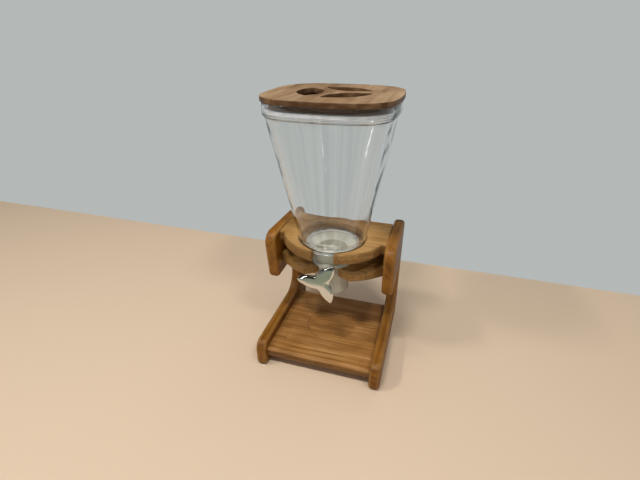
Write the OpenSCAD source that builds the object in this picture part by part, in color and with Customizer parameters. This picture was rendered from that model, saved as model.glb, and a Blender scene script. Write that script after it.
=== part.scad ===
// Gravity bulk food bin: a clear canister on a wooden stand, with a paddle wheel
// in a clear housing under it that is turned by a three-lobed knob at the front.
// Front is -Y, up is +Z, and the stand rests on Z = 0.

/* [Stand] */
// Overall width across the two side panels
stand_w = 256; // [240:2:280]
// Overall depth of the side panels
stand_d = 266; // [256:2:286]
// Thickness of the side panels
panel_t = 22; // [16:1:24]
// Thickness of the two shelves
shelf_t = 20; // [16:1:22]
// Thickness of the base board
base_t = 20; // [14:1:24]
// Height of the base board's underside above the table
base_z = 20; // [12:1:26]
// Height of the foot of a side panel
foot_h = 59; // [50:1:66]
// Height of the underside of a side panel's arm
arm_z = 162; // [150:1:170]
// Height of the top of the side panels at the front
panel_h = 270; // [268:1:290]
// Height of the top of the upper shelf
upper_z = 262; // [262:1:266]
// Height of the top of the lower shelf
lower_z = 211; // [211:1:213]
// Width of the slot in the front of both shelves
slot_w = 40; // [34:1:44]
// Radius of the bowl recess in the base board
bowl_r = 52; // [40:1:60]
// Depth of the bowl recess
bowl_deep = 3; // [1:0.5:6]

/* [Canister] */
// Distance of the canister's axis from the middle of the stand's depth
axis_y = -12; // [-16:1:-8]
// Half of the canister's width under its rim
body_half = 106.5; // [100:0.5:107]
// Half of the rim's width
rim_half = 109.5; // [109:0.5:112]
// Height of the rim band
rim_h = 21; // [19:1:30]
// Height of the top of the rim
rim_z = 519; // [480:1:560]
// Outer radius of the round foot of the canister
neck_r = 64; // [62:0.5:65]
// Thickness of the canister's wall
wall = 3; // [2:0.5:4]
// Radius of the opening in the canister's floor
throat_r = 47; // [44:1:50]

/* [Lid] */
// Half of the lid's width
lid_half = 112; // [110:1:118]
// Thickness of the lid board
lid_t = 8; // [7:0.5:14]
// Radius of the circle that the three finger openings fill
grip_r = 63; // [50:1:66]
// Depth of the pocket under the finger openings
grip_deep = 5; // [3:0.5:8]

/* [Metering unit] */
// Outer radius of the clear tube
tube_r = 35; // [34:0.5:36]
// Thickness of the tube's wall
tube_wall = 2.5; // [2:0.5:3]
// Height of the spout's lower end
spout_z = 150; // [130:1:160]
// Height of the shaft's axis
shaft_z = 205; // [203:1:206]
// Radius of the shaft
shaft_r = 5; // [4:0.5:6]
// Number of paddles on the wheel
paddles = 6; // [4:1:8]
// Radius that the paddles sweep
paddle_r = 31; // [28:0.5:31]

/* [Knob] */
// Distance from the knob's centre to the tip of a lobe
knob_r = 45; // [38:1:48]
// Radius of the knob between its lobes
knob_waist = 17; // [14:1:20]
// Thickness of the lobes
knob_t = 9; // [6:0.5:12]
// Distance of the knob's front face from the canister's axis
knob_face = 87; // [86:1:96]

/* [Hidden] */
$fn = 96;

// Side panel: places along the depth are measured from the canister's axis
inner_w = stand_w - 2 * panel_t;
through = 600;
over = 1;
front_y = -stand_d / 2 - axis_y;
back_y = stand_d / 2 - axis_y;
column_y = 94;
arm_tip_y = -31;
arm_top_y = -46;
top_back_y = 127;
top_back_z = panel_h - 11;

// Boards between the panels
base_front = front_y + 10;
base_back = 106;
rail_y = 86;
rail_t = 18;
rail_bottom = 168;
rail_top = 250;
ledge_z = upper_z - shelf_t / 2;
neck_gap = 1.2;
shelf_end_y = -11;
upper_arc_r = 108;
upper_arc_y = 32;
lower_arc_r = 142;
lower_arc_y = 89;
tip_in = 33;
tip_out = 44;
tip_slope = 12;
boss_gap = 1.5;
boss_end_gap = 3;

// Dowels
dowel_r = 4;
dowel_len = 30;
dowel_in_panel = 14;
dowel_fit = 0.05;
dowel_ys = [-85, 0, 85];
shelf_dowel_ys = [8, 66];
rail_dowel_zs = [185, 230];

// Canister: straight round neck, a small step out, then the flare up to the rim
neck_h = 16;
neck_step = 2.5;
rim_corner = 62;
body_corner = 58;
side_r = 385;
body_top = rim_z - rim_h;
floor_t = 3;
sliver = 0.1;

// Lid: the plug has a wide dark upper part and a core that carries the seal
lid_corner = 65;
plug_half = 97;
plug_corner = 80;
core_half = 89;
core_corner = 72;
seal_play = 0.5;
core_lift = 0.5;
plug_bottom = body_top + wall + 1;
seal_top = rim_z - 10;
lens_r = 57;
lens_far = 76;
lens_turn = 70;
lid_screw_r = 2;
lid_head_r = 4;
lid_screw_at = 76;
lid_head_t = 2.5;
lid_screw_end = 3;

// Metering unit
bore_r = throat_r + 5;
flange_r = bore_r - 0.5;
flange_t = 4;
seal_t = 2;
flange_z = ledge_z - seal_t - flange_t;
funnel_top = flange_z + 2;
tube_in = tube_r - tube_wall;
tube_top = shaft_z + paddle_r + 1;
hole_r = tube_r + 1.5;
shoulder_r = 41;
shoulder_h = 4;
front_boss_r = 13;
front_boss_end = -48;
rear_boss_r = 11;
rear_boss_end = 44;
bush_r = 8;
run_fit = 0.05;
hub_r = 8;
hub_half = 29;
paddle_t = 2.2;
pin_r = 1.5;
pin_len = 15.4;
pin_y = -22;
pin_turn = 30;
divider_r = 9;
divider_h = 8;
rib_t = 3;
rib_h = 4;
shaft_front = -knob_face + 10;
shaft_back = rear_boss_end + 2;

// Knob and what holds it and the shaft
knob_hub_r = 11;
knob_back = -49;
knob_tip_turn = 56;
lobe_swirl = 16;
tip_soft = 0.06;
grub_r = 2;
grub_y = -58;
clip_y = rear_boss_end + 0.4;
clip_r = 8;
clip_t = 1;

// Corner i of a closed outline of [x, y, radius], as the points of a fillet
function fillet(p, i, steps = 8) =
    let (n = len(p), a = p[(i + n - 1) % n], b = p[i], c = p[(i + 1) % n],
         u = [a[0] - b[0], a[1] - b[1]] / norm([a[0] - b[0], a[1] - b[1]]),
         v = [c[0] - b[0], c[1] - b[1]] / norm([c[0] - b[0], c[1] - b[1]]),
         half = acos(u * v) / 2,
         centre = [b[0], b[1]] + (u + v) / norm(u + v) * b[2] / sin(half),
         from = [b[0], b[1]] + u * b[2] / tan(half) - centre,
         side = sign(u[1] * v[0] - u[0] * v[1]),
         sweep = side * (180 - 2 * half))
    [for (k = [0:steps]) let (t = sweep * k / steps)
        centre + [from[0] * cos(t) - from[1] * sin(t),
                  from[0] * sin(t) + from[1] * cos(t)]];

function rounded(p) = [for (i = [0:len(p) - 1]) each fillet(p, i)];

// Square with half width h, sides of radius side_r and corners of radius r
function soft_square(h, r) =
    let (d = side_r - h, e = side_r - r, c = (sqrt(2 * e * e - d * d) - d) / 2,
         a = asin(c / e))
    [for (q = [0:90:270]) each concat(
        [for (t = [-a:a / 3:a * 0.99]) let (x = side_r * cos(t) - d, y = side_r * sin(t))
            [x * cos(q) - y * sin(q), x * sin(q) + y * cos(q)]],
        [for (t = [a:(90 - 2 * a) / 10:89.9 - a]) let (x = c + r * cos(t), y = c + r * sin(t))
            [x * cos(q) - y * sin(q), x * sin(q) + y * cos(q)]])];

module on_axis() translate([0, axis_y, 0]) children();

module along_y(y0, y1, r) translate([0, y0, shaft_z]) rotate([-90, 0, 0])
    cylinder(h = y1 - y0, r = r);

// One side panel, drawn as a C: foot, column and arm; it starts at X = x0
module side_panel(x0) {
    outline = rounded([[front_y, 0, 12], [back_y, 0, 6],
        [top_back_y, top_back_z, 14], [arm_top_y, panel_h, 24],
        [arm_tip_y, arm_z, 12], [column_y, arm_z, 25],
        [column_y + 2, foot_h, 38], [front_y, foot_h, 22]]);
    color("burlywood") on_axis() difference() {
        translate([x0, 0, 0]) rotate([90, 0, 90]) linear_extrude(panel_t) polygon(outline);
        dowel_places(dowel_r + dowel_fit);
    }
}

module left_side_panel() side_panel(-stand_w / 2);
module right_side_panel() side_panel(inner_w / 2);

// Dowel cylinders across the joints between boards and panels
module dowel_pair(y, z, r) for (s = [-1, 1])
    translate([s * (inner_w / 2 + dowel_in_panel), y, z]) rotate([0, -90 * s, 0])
        cylinder(h = dowel_len, r = r, $fn = 48);

module base_dowel_places(r) for (y = dowel_ys) dowel_pair(y, base_z + base_t / 2, r);
module shelf_dowel_places(r) for (y = shelf_dowel_ys, z = [upper_z, lower_z])
    dowel_pair(y, z - shelf_t / 2, r);
module rail_dowel_places(r) for (z = rail_dowel_zs) dowel_pair(rail_y + rail_t / 2, z, r);

module dowel_places(r) {
    base_dowel_places(r);
    shelf_dowel_places(r);
    rail_dowel_places(r);
}

module board(y0, y1, z0, z1) translate([-inner_w / 2, y0, z0])
    cube([inner_w, y1 - y0, z1 - z0]);

module base_board() color("peru") on_axis() difference() {
    board(base_front, base_back, base_z, base_z + base_t);
    translate([0, 0, base_z + base_t - bowl_deep]) cylinder(h = bowl_deep + over, r = bowl_r);
    base_dowel_places(dowel_r + dowel_fit);
}

module back_rail() color("saddlebrown") on_axis() difference() {
    board(rail_y, rail_y + rail_t, rail_bottom, rail_top);
    rail_dowel_places(dowel_r + dowel_fit);
}

// Shelf blank with a bowed front and a slot open to the front
module shelf_blank(top, arc_r, arc_y) difference() {
    intersection() {
        board(-through, rail_y, top - shelf_t, top);
        translate([0, arc_y, top - shelf_t]) cylinder(h = shelf_t, r = arc_r, $fn = 180);
    }
    translate([-slot_w / 2, -through, 0]) cube([slot_w, through, through]);
}

module upper_shelf() color("burlywood") on_axis() difference() {
    union() {
        shelf_blank(upper_z, upper_arc_r, upper_arc_y);
        board(shelf_end_y, rail_y, upper_z - shelf_t, upper_z);
    }
    cylinder(h = through, r = bore_r);
    translate([0, 0, ledge_z]) cylinder(h = through, r = neck_r + neck_gap);
    shelf_dowel_places(dowel_r + dowel_fit);
}

module lower_shelf() color("burlywood") on_axis() difference() {
    shelf_blank(lower_z, lower_arc_r, lower_arc_y);
    cylinder(h = through, r = hole_r);
    translate([-rear_boss_r - boss_gap, 0, 0])
        cube([2 * (rear_boss_r + boss_gap), rear_boss_end + boss_end_gap, through]);
    for (s = [-1, 1]) linear_extrude(through)
        polygon([[s * slot_w / 2, -tip_in], [s * tip_out, -tip_in - tip_slope],
            [s * tip_out, -through], [0, -through], [0, -tip_in]]);
    shelf_dowel_places(dowel_r + dowel_fit);
}

module base_dowels() color("wheat") on_axis() base_dowel_places(dowel_r);
module shelf_dowels() color("wheat") on_axis() shelf_dowel_places(dowel_r);
module rail_dowels() color("wheat") on_axis() rail_dowel_places(dowel_r);

// Rounded-square top drawn down to the round neck, smaller by inset all round
module flare(inset, low, high) hull() {
    translate([0, 0, high - sliver]) linear_extrude(sliver)
        polygon(soft_square(body_half - inset, body_corner - inset));
    translate([0, 0, low]) cylinder(h = sliver, r = neck_r + neck_step - inset);
}

module canister() color([0.85, 0.9, 0.92, 0.4]) on_axis() difference() {
    union() {
        translate([0, 0, ledge_z]) cylinder(h = neck_h + sliver, r = neck_r);
        flare(0, ledge_z + neck_h, body_top);
        translate([0, 0, body_top]) linear_extrude(rim_h)
            polygon(soft_square(rim_half, rim_corner));
    }
    translate([0, 0, ledge_z + floor_t])
        cylinder(h = neck_h + wall - floor_t, r = neck_r - wall);
    flare(wall, ledge_z + neck_h + wall - sliver, body_top + sliver);
    translate([0, 0, body_top + wall]) linear_extrude(rim_h)
        polygon(soft_square(rim_half - wall, rim_corner - wall));
    translate([0, 0, body_top]) linear_extrude(rim_h)
        polygon(soft_square(body_half - wall, body_corner - wall));
    cylinder(h = body_top, r = throat_r);
}

// One finger opening: where two circles cross
module lens() intersection() {
    circle(r = grip_r);
    translate([lens_far, 0]) circle(r = lens_r);
}

module lid_screw_places(r, low, high) for (a = [0:90:270]) rotate([0, 0, a])
    translate([lid_screw_at, 0, low]) cylinder(h = high - low, r = r, $fn = 48);

module lid_board() color("tan") on_axis() difference() {
    translate([0, 0, rim_z]) linear_extrude(lid_t) polygon(soft_square(lid_half, lid_corner));
    for (a = [0:120:240]) rotate([0, 0, a + lens_turn])
        translate([0, 0, rim_z - over]) linear_extrude(lid_t + 2 * over) lens();
    lid_screw_places(lid_screw_r, rim_z - over, rim_z + lid_t - lid_screw_end);
}

module lid_plug() color("sienna") on_axis() difference() {
    union() {
        translate([0, 0, seal_top]) linear_extrude(rim_z - seal_top)
            polygon(soft_square(plug_half, plug_corner));
        translate([0, 0, plug_bottom]) linear_extrude(seal_top - plug_bottom)
            polygon(soft_square(core_half, core_corner));
    }
    translate([0, 0, rim_z - grip_deep]) cylinder(h = grip_deep + over, r = grip_r + over);
    lid_screw_places(lid_screw_r, plug_bottom - over, rim_z + over);
    lid_screw_places(lid_head_r, plug_bottom - over, plug_bottom + core_lift + lid_head_t);
}

module lid_seal() color("whitesmoke") on_axis() difference() {
    translate([0, 0, plug_bottom + core_lift])
        linear_extrude(seal_top - plug_bottom - core_lift)
        polygon(soft_square(rim_half - wall - seal_play, rim_corner - wall - seal_play));
    translate([0, 0, plug_bottom]) linear_extrude(rim_z - plug_bottom)
        polygon(soft_square(core_half, core_corner));
}

module lid_screws() color("silver") on_axis() {
    lid_screw_places(lid_screw_r, plug_bottom + over, rim_z + lid_t - lid_screw_end);
    lid_screw_places(lid_head_r, plug_bottom + core_lift, plug_bottom + core_lift + lid_head_t);
}

// Clear housing: flange and funnel on a tube, with two bearing bosses
module metering_housing() color([0.9, 0.94, 0.92, 0.5]) on_axis() {
    difference() {
        union() {
            rotate_extrude() polygon([[0, spout_z], [tube_r, spout_z], [tube_r, lower_z],
                [shoulder_r, lower_z], [shoulder_r, lower_z + shoulder_h],
                [tube_r, lower_z + shoulder_h], [tube_r, tube_top - flange_t],
                [flange_r, flange_z], [flange_r, flange_z + flange_t],
                [0, flange_z + flange_t]]);
            along_y(front_boss_end, 0, front_boss_r);
            along_y(0, rear_boss_end, rear_boss_r);
        }
        rotate_extrude() polygon([[0, spout_z - over], [tube_in, spout_z - over],
            [tube_in, tube_top], [throat_r, funnel_top],
            [throat_r, rim_z], [0, rim_z]]);
        along_y(front_boss_end - over, 0, bush_r);
        along_y(0, rear_boss_end + over, bush_r);
    }
    flow_divider();
}

// Cone on a thin rib across the funnel that parts the food above the wheel
module flow_divider() {
    translate([0, 0, tube_top]) cylinder(h = divider_h, r1 = divider_r, r2 = 0);
    translate([-tube_in - over, -rib_t / 2, tube_top]) cube([2 * (tube_in + over), rib_t, rib_h]);
}

module neck_seal() color("white") on_axis() difference() {
    translate([0, 0, flange_z + flange_t]) cylinder(h = seal_t, r = flange_r);
    cylinder(h = through, r = throat_r);
}

module bush(y0, y1) color("ivory") on_axis() difference() {
    along_y(y0, y1, bush_r);
    along_y(y0 - over, y1 + over, shaft_r + run_fit);
}

module front_bush() bush(front_boss_end, -tube_in);
module rear_bush() bush(tube_in, rear_boss_end);

module drive_shaft() color("silver") on_axis() difference() {
    along_y(shaft_front, shaft_back, shaft_r);
    pin_place();
}

module pin_place() translate([0, pin_y, shaft_z]) rotate([0, 90 - pin_turn, 0])
    cylinder(h = pin_len, r = pin_r, center = true, $fn = 48);

module wheel_hub() color("white") on_axis() difference() {
    along_y(-hub_half, hub_half, hub_r);
    along_y(-hub_half - over, hub_half + over, shaft_r);
    pin_place();
}

module wheel_paddles() color("gainsboro") on_axis() translate([0, 0, shaft_z])
    for (k = [0:paddles - 1]) rotate([0, 360 * k / paddles, 0]) difference() {
        intersection() {
            sphere(r = paddle_r);
            translate([hub_r / 2, over - hub_half, -paddle_t / 2])
                cube([paddle_r, 2 * (hub_half - over), paddle_t]);
        }
        rotate([90, 0, 0]) cylinder(h = 4 * hub_half, r = hub_r, center = true);
    }

module hub_pin() color("silver") on_axis() pin_place();

// Three pointed lobes that lean a little, drawn by one wave round the centre
function softly(s) = sqrt(s * s + tip_soft * tip_soft) - tip_soft;

knob_outline = [for (a = [0:4:356])
    let (wave = softly(sin(1.5 * a)) / softly(1),
         r = knob_r - (knob_r - knob_waist) * wave,
         turn = knob_tip_turn + a + lobe_swirl * (1 - r / knob_r))
    [r * cos(turn), r * sin(turn)]];

module knob() color("lightgray") on_axis() difference() {
    union() {
        translate([0, knob_t - knob_face, shaft_z]) rotate([90, 0, 0])
            linear_extrude(knob_t) polygon(knob_outline);
        along_y(knob_t - knob_face - over, knob_back, knob_hub_r);
    }
    along_y(shaft_front, knob_back + over, shaft_r);
    grub_place(knob_hub_r + over);
}

module grub_place(reach) translate([0, grub_y, shaft_z - reach])
    cylinder(h = reach - shaft_r, r = grub_r, $fn = 48);

module knob_set_screw() color("dimgray") on_axis() grub_place(knob_hub_r - over);

module retaining_clip() color("silver") on_axis() difference() {
    along_y(clip_y, clip_y + clip_t, clip_r);
    along_y(rear_boss_end, shaft_back + over, shaft_r);
}

base_board();
left_side_panel();
right_side_panel();
back_rail();
upper_shelf();
lower_shelf();
base_dowels();
shelf_dowels();
rail_dowels();
canister();
lid_board();
lid_plug();
lid_seal();
lid_screws();
metering_housing();
neck_seal();
front_bush();
rear_bush();
drive_shaft();
wheel_hub();
wheel_paddles();
hub_pin();
knob();
knob_set_screw();
retaining_clip();
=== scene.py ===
import math

import bmesh
import bpy
from mathutils import Matrix, Vector
from mathutils.geometry import tessellate_polygon


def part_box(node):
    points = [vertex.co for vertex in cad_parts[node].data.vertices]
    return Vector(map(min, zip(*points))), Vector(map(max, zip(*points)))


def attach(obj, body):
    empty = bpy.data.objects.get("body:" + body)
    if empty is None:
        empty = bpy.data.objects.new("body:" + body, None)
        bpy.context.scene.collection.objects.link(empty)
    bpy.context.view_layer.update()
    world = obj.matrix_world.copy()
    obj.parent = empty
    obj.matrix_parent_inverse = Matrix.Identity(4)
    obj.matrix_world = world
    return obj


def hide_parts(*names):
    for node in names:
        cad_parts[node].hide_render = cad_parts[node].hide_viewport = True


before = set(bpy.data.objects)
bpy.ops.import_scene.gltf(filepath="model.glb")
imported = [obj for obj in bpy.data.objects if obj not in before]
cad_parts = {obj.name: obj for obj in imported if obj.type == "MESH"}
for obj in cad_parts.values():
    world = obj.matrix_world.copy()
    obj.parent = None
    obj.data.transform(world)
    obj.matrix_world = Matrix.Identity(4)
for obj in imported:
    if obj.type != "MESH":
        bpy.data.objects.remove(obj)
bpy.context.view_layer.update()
print("frame loaded")

mm = 0.001
axisY = -12                      # the canister's axis, in mm from the middle of the stand


def boxOf(node):
    # lowest and highest corner of a CAD node, in mm from the canister's axis
    return [Vector((p.x / mm, p.y / mm - axisY, p.z / mm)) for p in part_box(node)]


def tint(red, green, blue, alpha=1.0):
    # a colour as it looks on a screen, from 0 to 255, as Blender's linear one
    def linear(value):
        share = value / 255
        return share / 12.92 if share <= 0.04045 else ((share + 0.055) / 1.055) ** 2.4
    return (linear(red), linear(green), linear(blue), alpha)


# camera: solved from the stand's board edges and the round foot of the canister
photoView = {
    "place": (0.1673, -0.6566, 0.6125),
    "ahead": (-0.2525, 0.8427, -0.4756),
    "right": (0.9579, 0.2870, 0.0),
    "focalPixels": 385,
    "imageWidth": 640,
    "sensorWidth": 36,
}


def makeCamera(view):
    lens = bpy.data.cameras.new("photoCamera")
    lens.sensor_width = view["sensorWidth"]
    lens.lens = view["sensorWidth"] * view["focalPixels"] / view["imageWidth"]
    lens.clip_start = 0.01
    camera = bpy.data.objects.new("photoCamera", lens)
    ahead = Vector(view["ahead"]).normalized()
    right = Vector(view["right"]).normalized()
    up = right.cross(ahead).normalized()
    turn = Matrix((right, up, -ahead)).transposed().to_4x4()
    camera.matrix_world = Matrix.Translation(view["place"]) @ turn
    bpy.context.scene.collection.objects.link(camera)
    bpy.context.scene.camera = camera


makeCamera(photoView)
print("camera placed")


class Wire:
    # a shader socket on which arithmetic can be written
    def __init__(self, finish, socket):
        self.finish = finish
        self.socket = socket

    def maths(self, operation, *values):
        return self.finish.add("ShaderNodeMath", {"operation": operation}, dict(enumerate(values)))

    def __add__(self, other):
        return self.maths("ADD", self, other)

    def __radd__(self, other):
        return self.maths("ADD", other, self)

    def __sub__(self, other):
        return self.maths("SUBTRACT", self, other)

    def __rsub__(self, other):
        return self.maths("SUBTRACT", other, self)

    def __mul__(self, other):
        return self.maths("MULTIPLY", self, other)

    def __rmul__(self, other):
        return self.maths("MULTIPLY", other, self)

    def __truediv__(self, other):
        return self.maths("DIVIDE", self, other)

    def __rtruediv__(self, other):
        return self.maths("DIVIDE", other, self)

    def __pow__(self, other):
        return self.maths("POWER", self, other)

    def __rpow__(self, other):
        return self.maths("POWER", other, self)

    def floor(self):
        return self.maths("FLOOR", self)

    def fract(self):
        return self.maths("FRACT", self)

    def least(self, other):
        return self.maths("MINIMUM", self, other)

    def most(self, other):
        return self.maths("MAXIMUM", self, other)

    def root(self):
        return self.maths("SQRT", self)

    def ease(self, low, high):
        # 0 below low, 1 above high, smooth between
        return self.finish.add("ShaderNodeMapRange", {"interpolation_type": "SMOOTHSTEP"},
                               {"Value": self, "From Min": low, "From Max": high})


class Nodes:
    # a node tree whose nodes all come from add()
    def __init__(self, tree):
        self.nodes = tree.nodes
        self.links = tree.links

    def add(self, kind, settings=None, inputs=None, output=0):
        node = self.nodes.new(kind)
        for key, value in (settings or {}).items():
            if key == "stops":
                self.setStops(node.color_ramp, value)
            else:
                setattr(node, key, value)
        for key, value in (inputs or {}).items():
            self.feed(node.inputs[key], value)
        return Wire(self, node.outputs[output])

    def setStops(self, ramp, stops):
        while len(ramp.elements) < len(stops):
            ramp.elements.new(0.5)
        for element, (place, colour) in zip(ramp.elements, stops):
            element.position = place
            element.color = colour

    def feed(self, socket, value):
        if isinstance(value, Wire):
            self.links.new(value.socket, socket)
        else:
            socket.default_value = value

    def places(self, output=3):
        # x, y and z in metres, in the object's own space
        spot = self.add("ShaderNodeTexCoord", None, None, output)
        return [self.add("ShaderNodeSeparateXYZ", None, {0: spot}, i) for i in range(3)]

    def ray(self, kind):
        return self.add("ShaderNodeLightPath", None, None, "Is " + kind + " Ray")

    def seen(self):
        # 1 for rays that look at the background, straight or in a mirror or through glass
        return self.ray("Camera").most(self.ray("Glossy")).most(self.ray("Transmission"))

    def mirrored(self):
        # 1 for reflections alone; a ray bent by slightly rough plastic counts as glossy too
        return self.ray("Glossy") * (1.0 - self.ray("Transmission"))

    def mixShaders(self, share, first, second):
        return self.add("ShaderNodeMixShader", None, {0: share, 1: first, 2: second})

    def vector(self, x, y, z):
        return self.add("ShaderNodeCombineXYZ", None, {0: x, 1: y, 2: z})

    def noise(self, x, y, z, detail=2.0, rough=0.5):
        return self.add("ShaderNodeTexNoise", {"noise_dimensions": "3D"},
                        {"Vector": self.vector(x, y, z), "Scale": 1.0, "Detail": detail,
                         "Roughness": rough})

    def stripes(self, value, detail=2.0):
        return self.add("ShaderNodeTexNoise", {"noise_dimensions": "1D"},
                        {"W": value, "Scale": 1.0, "Detail": detail})

    def chance(self, x, y, z):
        return self.add("ShaderNodeTexWhiteNoise", {"noise_dimensions": "3D"},
                        {"Vector": self.vector(x, y, z)})

    def blend(self, share, first, second, kind="MIX"):
        return self.add("ShaderNodeMix", {"data_type": "RGBA", "blend_type": kind},
                        {0: share, 6: first, 7: second}, 2)

    def ramp(self, value, stops):
        return self.add("ShaderNodeValToRGB", {"stops": stops}, {0: value})

    def bump(self, height, distance, strength=1.0):
        return self.add("ShaderNodeBump", None,
                        {"Height": height, "Distance": distance, "Strength": strength})

    def wear(self):
        # 1 along the middle of a rounded edge, 0 on the flats; up to 1 on sides marked for painted shade. It
        # carries edge wear together with painted light and shade
        return self.add("ShaderNodeAttribute", {"attribute_name": "wear"}, None, 2)


class Finish(Nodes):
    # a material round one Principled shader
    def __init__(self, name):
        self.material = bpy.data.materials.new(name)
        self.material.use_nodes = True
        super().__init__(self.material.node_tree)
        self.shader = self.nodes["Principled BSDF"]
        self.surface = Wire(self, self.shader.outputs[0])

    def set(self, **inputs):
        # Base_Color=... and so on, on the Principled shader
        for key, value in inputs.items():
            self.feed(self.shader.inputs[key.replace("_", " ")], value)

    def show(self, shader):
        self.feed(self.nodes["Material Output"].inputs["Surface"], shader)


# wood: staves of random tone, each with its own rings, streaks and pores
# axes are a board's length, width and thickness; edgeTint shows by edgeShade on rounded edges and sides, as
# wear together with painted light and shade
woods = {
    # panel edges: painted light, a lighter edgeTint so the tops read as lit, along with wear
    "panelWood": {"axes": (1, 2, 0), "stave": 0.052, "length": 0.31, "seed": 3.0,
                  "edgeShade": 0.40, "edgeTint": (168, 124, 66),
                  "dark": (80, 43, 2), "middle": (130, 81, 16), "light": (168, 116, 42)},
    # base edges and seat rim: painted light, a lighter edgeTint, along with wear
    "baseWood": {"axes": (0, 1, 2), "stave": 0.041, "length": 0.26, "seed": 11.0,
                 "edgeShade": 0.15, "edgeTint": (170, 126, 74),
                 "dark": (98, 58, 18), "middle": (153, 105, 51), "light": (190, 146, 90)},
    # shelf edges and sides: painted shade, a dark edgeTint, along with wear
    "shelfWood": {"axes": (0, 1, 2), "stave": 0.044, "length": 0.17, "seed": 8.0,
                  "edgeShade": 0.55, "edgeTint": (74, 46, 14),
                  "dark": (108, 70, 24), "middle": (156, 116, 62), "light": (190, 155, 100)},
    # lid side and finger-opening walls: painted shade, a dark edgeTint over the whole side
    "lidWood": {"axes": (1, 0, 2), "stave": 0.047, "length": 0.29, "seed": 19.0,
                "edgeShade": 1.0, "edgeTint": (78, 50, 24),
                "dark": (110, 74, 42), "middle": (155, 123, 89), "light": (185, 157, 123)},
    # plug: the lid's wood painted nearly black, as painted shade under the lid board and in the openings; its
    # dark edgeTint adds more painted shade
    "plugWood": {"axes": (1, 0, 2), "stave": 0.047, "length": 0.29, "seed": 23.0,
                 "edgeShade": 0.3, "edgeTint": (28, 13, 2),
                 "dark": (40, 18, 2), "middle": (64, 34, 8), "light": (86, 50, 16)},
    "dowelWood": {"axes": (0, 1, 2), "stave": 0.5, "length": 0.9, "seed": 29.0,
                  "edgeShade": 0.0, "edgeTint": (168, 128, 84),
                  "dark": (168, 128, 84), "middle": (198, 160, 112), "light": (216, 184, 138)},
}
grain = {
    "ringsPerMetre": 150, "ringWave": 0.016, "pithAt": (0.17, 0.14),
    "swayPerMetre": (5.0, 14.0), "cloudsPerMetre": (14.0, 30.0), "patchesPerMetre": 60.0,
    "streaksPerMetre": (11.0, 420), "poresPerMetre": (120.0, 1700),
    "cutFrom": (4.0, 0.30, 0.26),    # metres of log that the staves come from, each way
    "rings": 0.24, "streaks": 0.38, "cloud": 0.75, "lift": -0.19,
    "toneStops": (0.08, 0.48, 0.92), "plainAt": 0.45, "paleStave": (1.10, 1.09, 1.06, 1.0),
    "plainStave": (1.0, 1.0, 1.0, 1.0), "darkStave": (0.82, 0.79, 0.75, 1.0),
    # eased from none at the first value to full at the second
    "ringStep": (0.25, 0.75), "streakStep": (0.25, 0.75), "poreStep": (0.60, 0.72),
    "patchStep": (0.25, 0.65), "leastWearAndLight": 0.6,
    "poreShade": 0.28, "jointWidth": 0.0007, "jointShade": 0.5, "jointDark": 0.45,
    "streakHeight": 0.35, "poreDepth": 0.5, "jointDepth": 0.8, "bumpDistance": 0.0005, "bumpStrength": 0.5,
    "roughness": 0.40, "streakRoughness": 0.14, "poreRoughness": 0.1,
    "coatWeight": 0.05, "coatRoughness": 0.25, "shine": 0.25,
}


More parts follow.
